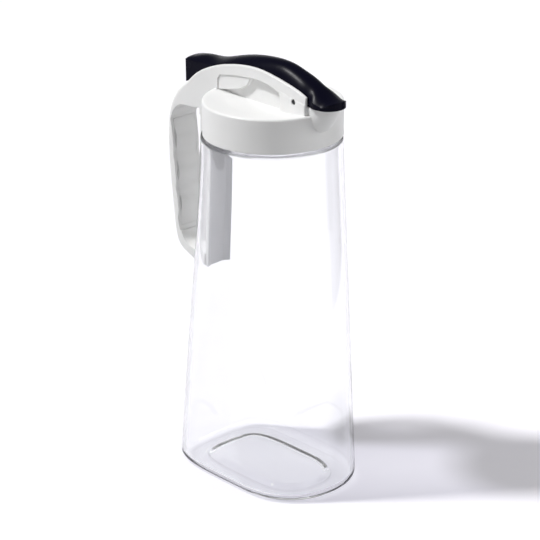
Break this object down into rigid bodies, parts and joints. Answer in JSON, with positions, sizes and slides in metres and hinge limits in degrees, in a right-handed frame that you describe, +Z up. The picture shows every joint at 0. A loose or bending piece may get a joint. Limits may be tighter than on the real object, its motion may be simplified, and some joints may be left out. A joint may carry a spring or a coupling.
{
  "type": "clear plastic pitcher with one-push spout lid",
  "caption": "Clear tapering drinks pitcher with a round screwless white lid, an arched loop handle with finger waves and a dark blue thumb lever that opens the spout.",
  "frame": {"origin": "middle of the footprint, on the table", "axes": "+Z up, +X towards the spout, -X towards the handle, +Y to the left of the spout"},
  "size_m": [0.1618, 0.094, 0.2996],
  "materials": {
    "clear_plastic": "clear moulded plastic",
    "white_plastic": "satin moulded white",
    "white_liner": "satin moulded white",
    "white_inner": "matt moulded white",
    "soft_seal": "milky silicone",
    "navy_plastic": "satin dark blue",
    "soft_plug": "milky silicone",
    "pin_plastic": "dark moulded pin",
    "spring_steel": "drawn stainless wire"
  },
  "bodies": {
    "jug": {"jug_body": "clear_plastic"},
    "lid": {"lid_shell": "white_plastic", "handle_liner": "white_liner", "inner_lid": "white_inner", "lid_gasket": "soft_seal", "hinge_pin": "pin_plastic", "return_spring": "spring_steel"},
    "lever": {"thumb_lever": "navy_plastic", "spout_seal": "soft_plug"}
  },
  "joints": [
    {"name": "lid_lift", "type": "slide", "parent": "jug", "child": "lid", "axis": [0, 0, 1], "range_m": [0, 0.13]},
    {"name": "lever_press", "type": "hinge", "parent": "lid", "child": "lever", "pos_m": [0.04925, 0, 0.2782], "axis": [0, -1, 0], "range_deg": [0, 5.5], "stiffness_Nm_per_rad": 0.6, "deforming": ["return_spring"]}
  ]
}
